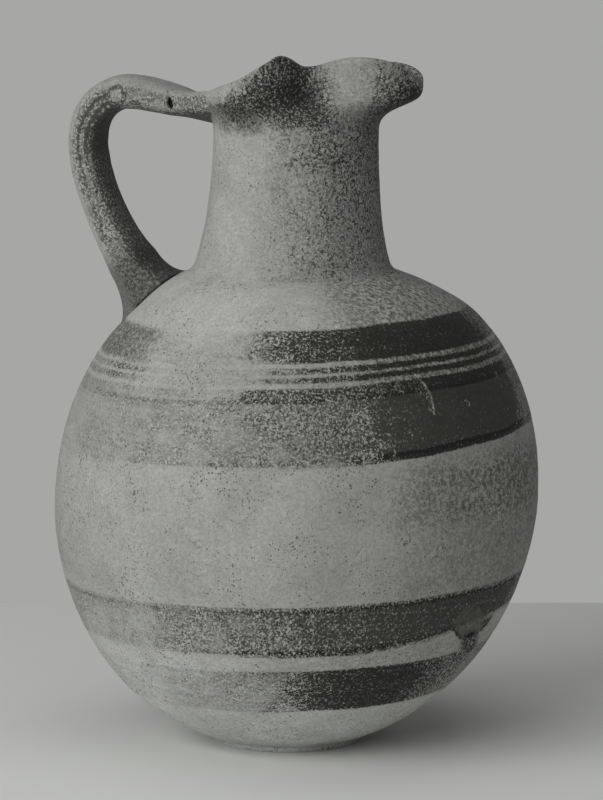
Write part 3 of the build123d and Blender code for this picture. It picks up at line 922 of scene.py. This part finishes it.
def rootPoint(phi, t):
    # flared root, from the strap's end (t 0) to the shoulder (t 1) and in under it (t up to 2)
    h = handleShape
    begin, along = strapPoint(len(h["run"]) - 1, phi)
    spread = h["rootFoot"]
    u, w = sectionShare(phi, spread["rounding"])
    x, y = spread["x"] - u * spread["halfLong"], w * spread["halfWide"]
    foot = Vector((x, y, domeHeight(x, y) - spread["sink"]))
    inward = Vector((spread["x"], 0, domeHeight(spread["x"], 0))) - foot
    outward = Vector(spread["outward"])
    lift = crackLift(phi) * h["crack"]["gap"]
    foot = foot + outward * lift
    if t <= 1:
        lead = foot + inward * mix(*spread["reach"], crackLift(phi)) + Vector(spread["lead"])
        return bezierPoint(begin, begin + along * spread["leave"], lead, foot, t)
    under = foot + inward * spread["underShare"] - outward * (spread["underDepth"] + lift)
    return foot.lerp(under, t - 1)


def chipPlace(chip):
    roll = radians(chip["roll"])
    middle = Vector((chip["x"], -0.5 * handleShape["run"][0][3], chip["height"]))
    long = Vector((-sin(roll), 0, cos(roll)))
    return middle, long, Vector((cos(roll), 0, sin(roll))), Vector((0, -1, 0))


def makeHandle(material):
    h = handleShape
    bm = bmesh.new()
    layers = [bm.verts.layers.float.new(name) for name in ("strapOut", "strapSide", "strapAlong", "marked")]
    rows = h["topRows"] + h["along"] + h["rootRows"]
    bmesh.ops.create_grid(bm, x_segments=rows, y_segments=h["around"], size=1.0)
    last = len(h["run"]) - 1
    for v in bm.verts:
        row, phi = (v.co.x + 1) / 2 * rows, pi * (v.co.y + 1)
        down = row - h["topRows"]
        if down < 0:
            v.co = seatPoint(phi, 2 * -down / h["topRows"])
        elif down <= h["along"]:
            v.co = strapPoint(last * down / h["along"], phi)[0]
        else:
            v.co = rootPoint(phi, (down - h["along"]) / (h["rootRows"] - h["underRows"]))
        u, w = sectionShare(phi, h["rounding"])
        for layer, value in zip(layers, (u, w, row / rows)):
            v[layer] = value
    bmesh.ops.remove_doubles(bm, verts=bm.verts, dist=mergeDistance)
    bmesh.ops.holes_fill(bm, edges=[e for e in bm.edges if e.is_boundary], sides=0)
    bmesh.ops.recalc_face_normals(bm, faces=bm.faces)
    bm.normal_update()
    refineMark(bm, h["chip"], chipPlace(h["chip"]))
    pressFingers(bm, h["fingers"],
                 lambda p: smoothStep(*h["fingerOver"], p.z) * smoothStep(*h["fingerBehind"], p.x))
    pressMark(bm, h["chip"], chipPlace(h["chip"]))
    finishPiece(bm, "handleStrap", material, ["handle_strap", "handle_top_pad", "handle_root_pad"])


def handleMaterial():
    material, tree = startMaterial("strapClay")
    p = handlePaint
    at = objectVector(tree)
    place = addNode(tree, "ShaderNodeSeparateXYZ", Vector=at).outputs
    out, side, along = (vertexField(tree, name) for name in ("strapOut", "strapSide", "strapAlong"))
    near = ramp(tree, side, *p["nearSide"], 1.0, 0.0)
    across = curveField(tree, calc(tree, "MULTIPLY_ADD", out, 0.5, 0.5), p["across"])
    cover = times(tree, across, curveField(tree, along, p["along"]))
    wobbled = calc(tree, "ADD", out, wanderField(tree, at, *p["wobble"]))
    for middle in p["lines"]:
        off = calc(tree, "ABSOLUTE", calc(tree, "SUBTRACT", wobbled, middle))
        line = ramp(tree, off, 0.5 * p["lineHalf"], 1.5 * p["lineHalf"], 1.0, 0.0)
        cover = most(tree, cover, times(tree, line, near, curveField(tree, along, p["lineAlong"])))
    loop, smear = (ellipseField(tree, place["X"], place["Z"], **p[name]) for name in ("loop", "smear"))
    inLoop = times(tree, ramp(tree, loop, *p["loopEdge"]), near)
    cover = blendValue(tree, inLoop, cover, ramp(tree, loop, *p["loopFill"]))
    cover = most(tree, cover, times(tree, ramp(tree, smear, *p["smearEdge"]), near))
    ground = useGroup(tree, clayGround, Pits=p["pits"])
    mask = useGroup(tree, flakedSlip, Cover=cover).outputs[0]
    # painted shade darkens the root, where the strap meets the shoulder
    color = blendColor(tree, curveField(tree, along, p["root"]), ground.outputs["Color"], slipTone["black"])
    color = blendColor(tree, times(tree, mask, p["strongest"]), color, slipTone["black"])
    # painted shade: the chip's hollow is coloured near black
    chipShaded = ramp(tree, vertexField(tree, "marked"), *p["chipEdge"])
    finishMaterial(tree, blendColor(tree, chipShaded, color, p["chipShade"]), mask, ground)
    return material


# Foot disc

footShape = dict(radius=29.0, inset=0.4, taper=1.012, height=2.5, rounding=0.7, steps=200,
                 uneven=(0.006, 12), stain=0.1)


def makeFoot(material):
    f = footShape
    bm = bmesh.new()
    bmesh.ops.create_circle(bm, cap_ends=True, radius=f["radius"] - f["inset"], segments=f["steps"])
    top = bmesh.ops.extrude_face_region(bm, geom=bm.faces[:])["geom"]
    verts = [g for g in top if isinstance(g, bmesh.types.BMVert)]
    bmesh.ops.translate(bm, vec=(0, 0, f["height"]), verts=verts)
    bmesh.ops.scale(bm, vec=(f["taper"], f["taper"], 1), verts=verts)
    rim = [e for e in bm.edges if abs(e.verts[0].co.z - e.verts[1].co.z) < 0.01]
    bmesh.ops.bevel(bm, geom=rim, offset=f["rounding"], segments=4, profile=0.5, affect="EDGES", material=-1)
    share, size = f["uneven"]
    for v in bm.verts:
        v.co.xy *= 1 + share * fingerNoise((v.co.x, v.co.y, 0), size)
    finishPiece(bm, "footDisc", material, ["foot_disc"])


def footMaterial():
    material, tree = startMaterial("footClay")
    ground = useGroup(tree, clayGround, Pits=1.0)
    # painted light: the foot's clay is painted paler, like the underside of the bowl
    paler = scaleColor(tree, ground.outputs["Color"], bodyBands["paintedLight"][0][2])
    mask = useGroup(tree, flakedSlip, Cover=footShape["stain"]).outputs[0]
    finishMaterial(tree, blendColor(tree, mask, paler, slipTone["washAndShade"]), mask, ground)
    return material


# Scene: table, lamps, camera

stage = dict(tableColor=(0.86, 0.87, 0.85, 1), tableRough=0.9, tableSpecular=0.1,
             edgeBehind=0.287, across=1.6, before=1.2,
             backColor=(0.386, 0.391, 0.377, 1), fillLight=0.118, lampAim=0.12)

# lamps: degrees to the right of the camera side, degrees up, distance, width, height, power
lamps = dict(sideWindow=(-44, 24, 1.6, 1.8, 1.0, 16.6), skyPanel=(0, 80, 1.7, 1.7, 1.7, 6.9))


def makeStage():
    bm = bmesh.new()
    bmesh.ops.create_grid(bm, x_segments=1, y_segments=1, size=1.0)
    for v in bm.verts:
        along = viewRight * (v.co.x * stage["across"])
        v.co = along + viewFront * (stage["before"] if v.co.y < 0 else -stage["edgeBehind"])
    bmesh.ops.recalc_face_normals(bm, faces=bm.faces)
    mesh = bpy.data.meshes.new("tableTop")
    bm.to_mesh(mesh)
    bm.free()
    table = addObject("tableTop", mesh)
    material, tree = startMaterial("paleTable")
    setNode(tree, tree.nodes["Principled BSDF"], Base_Color=stage["tableColor"],
            Roughness=stage["tableRough"], Specular_IOR_Level=stage["tableSpecular"])
    mesh.materials.append(material)


def makeLamps():
    target = Vector((0, 0, stage["lampAim"]))
    for name, (turn, rise, distance, width, tall, power) in lamps.items():
        data = bpy.data.lights.new(name, "AREA")
        data.shape = "RECTANGLE"
        data.size, data.size_y = width, tall
        data.energy = power
        lamp = addObject(name, data)
        flat = viewFront * cos(radians(turn)) + viewRight * sin(radians(turn))
        lamp.location = target + (flat * cos(radians(rise)) + upright * sin(radians(rise))) * distance
        lamp.rotation_euler = (target - lamp.location).to_track_quat("-Z", "Y").to_euler()
    world = bpy.data.worlds.new("studio")
    scene.world = world
    world.use_nodes = True
    tree = world.node_tree
    light = setNode(tree, tree.nodes["Background"], Color=(1, 1, 1, 1), Strength=stage["fillLight"])
    seen = addNode(tree, "ShaderNodeBackground", Color=stage["backColor"], Strength=1.0)
    path = addNode(tree, "ShaderNodeLightPath")
    rays = most(tree, path.outputs["Is Glossy Ray"], path.outputs["Is Transmission Ray"])
    rays = most(tree, path.outputs["Is Camera Ray"], rays)
    both = addNode(tree, "ShaderNodeMixShader", Fac=rays)
    tree.links.new(light.outputs[0], both.inputs[1])
    tree.links.new(seen.outputs[0], both.inputs[2])
    tree.links.new(both.outputs[0], tree.nodes["World Output"].inputs["Surface"])


camera = dict(distance=1.818, height=0.388, aimHeight=0.132, toRight=0.0052, lens=215.1, clip=(0.05, 20.0))


def makeCamera():
    data = bpy.data.cameras.new("photoCamera")
    data.lens = camera["lens"]
    data.clip_start, data.clip_end = camera["clip"]
    eye = addObject("photoCamera", data)
    aside = viewRight * camera["toRight"]
    eye.location = viewFront * camera["distance"] + aside + Vector((0, 0, camera["height"]))
    aim = aside + Vector((0, 0, camera["aimHeight"]))
    eye.rotation_euler = (aim - eye.location).to_track_quat("-Z", "Y").to_euler()
    scene.camera = eye


scene.view_settings.view_transform = "Standard"
makeBody(bodyMaterial())
makeNeck(neckMaterial())
makeHandle(handleMaterial())
makeFoot(footMaterial())
makeStage()
makeLamps()
makeCamera()
print("stage, lamps and camera set")
